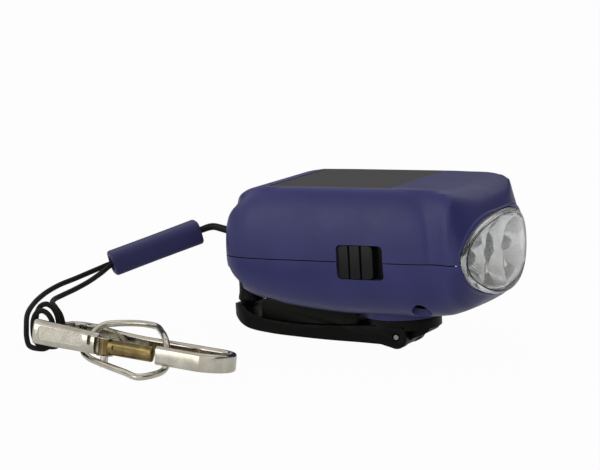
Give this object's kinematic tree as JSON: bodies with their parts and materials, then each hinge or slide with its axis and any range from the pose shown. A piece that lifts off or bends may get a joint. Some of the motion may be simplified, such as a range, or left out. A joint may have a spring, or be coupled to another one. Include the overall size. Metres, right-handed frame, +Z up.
{
  "type": "hand crank flashlight",
  "caption": "Hand crank flashlight with a folding crank arm, a side switch, a solar panel on top, an oval lens, and a bead and carabiner on a cord.",
  "frame": {"origin": "on the resting surface, under the middle of the flashlight without its cord", "axes": "+X towards the lens, +Y away from the switch, +Z up"},
  "size_m": [0.1507, 0.1123, 0.0575],
  "materials": {
    "blue_plastic": "matte",
    "black_plastic": "matte",
    "grey_plastic": "matte",
    "solar_cell": "satin",
    "clear_lens": "gloss",
    "led_clear": "gloss",
    "chrome_plated": "gloss",
    "steel": "satin",
    "brass": "satin",
    "nickel_plated": "gloss",
    "board_green": "matte",
    "white_nylon": "matte",
    "cell_wrap": "gloss",
    "blue_rubber": "matte",
    "black_cord": "matte"
  },
  "bodies": {
    "housing": {"upper_shell": "blue_plastic", "lower_shell": "blue_plastic", "solar_panel": "solar_cell", "front_lens": "clear_lens", "reflector": "chrome_plated", "led_board": "board_green", "led_1": "led_clear", "led_2": "led_clear", "led_3": "led_clear", "switch_body": "grey_plastic", "main_board": "board_green", "battery_pack": "cell_wrap", "gear_plate": "grey_plastic", "idler_axle": "steel", "generator_can": "steel", "lanyard_anchor": "steel", "shell_screw_1": "steel", "shell_screw_2": "steel", "shell_screw_3": "steel", "shell_screw_4": "steel", "lanyard_cord": "black_cord", "lanyard_bead": "blue_rubber", "carabiner_body": "nickel_plated", "gate_pin": "nickel_plated"},
    "crank": {"crank_rotor": "black_plastic", "crank_shaft": "steel", "drive_gear": "white_nylon", "hinge_pin": "steel"},
    "arm": {"crank_arm": "black_plastic", "knob_pin": "black_plastic"},
    "knob": {"crank_knob": "black_plastic"},
    "idler": {"idler_gear": "white_nylon"},
    "rotor": {"generator_rotor": "brass"},
    "switch": {"switch_slider": "black_plastic"},
    "gate": {"carabiner_gate": "nickel_plated"},
    "link": {"wire_link": "nickel_plated"}
  },
  "joints": [
    {"name": "crank_spin", "type": "hinge", "parent": "housing", "child": "crank", "pos_m": [0.01405, 0, 0.004], "axis": [-0.061, 0, 0.9981], "continuous": true},
    {"name": "arm_fold", "type": "hinge", "parent": "crank", "child": "arm", "pos_m": [0.01405, 0, 0.004], "axis": [0, -1, 0], "range_deg": [0, 180]},
    {"name": "knob_spin", "type": "hinge", "parent": "arm", "child": "knob", "pos_m": [-0.04603, 0, 0.01335], "axis": [-0.061, 0, 0.9981], "continuous": true},
    {"name": "idler_spin", "type": "hinge", "parent": "housing", "child": "idler", "pos_m": [-0.00704, 0, 0.01874], "axis": [-0.061, 0, 0.9981], "continuous": true},
    {"name": "generator_spin", "type": "hinge", "parent": "housing", "child": "rotor", "pos_m": [-0.0234, 0, 0.02175], "axis": [-0.061, 0, 0.9981], "continuous": true},
    {"name": "switch_slide", "type": "slide", "parent": "housing", "child": "switch", "axis": [0.9981, 0, 0.061], "range_m": [0, 0.0037]},
    {"name": "gate_hinge", "type": "hinge", "parent": "housing", "child": "gate", "pos_m": [-0.05892, -0.0729, 0.00646], "axis": [0.0201, 0.1381, 0.9902], "range_deg": [0, 20], "stiffness_Nm_per_rad": 0.01},
    {"name": "link_slide", "type": "slide", "parent": "housing", "child": "link", "axis": [0.9975, -0.0698, -0.0105], "range_m": [0, 0.004]}
  ],
  "couplings": [
    {"joint": "idler_spin", "follows": "crank_spin", "ratio": -4},
    {"joint": "generator_spin", "follows": "crank_spin", "ratio": 12}
  ]
}
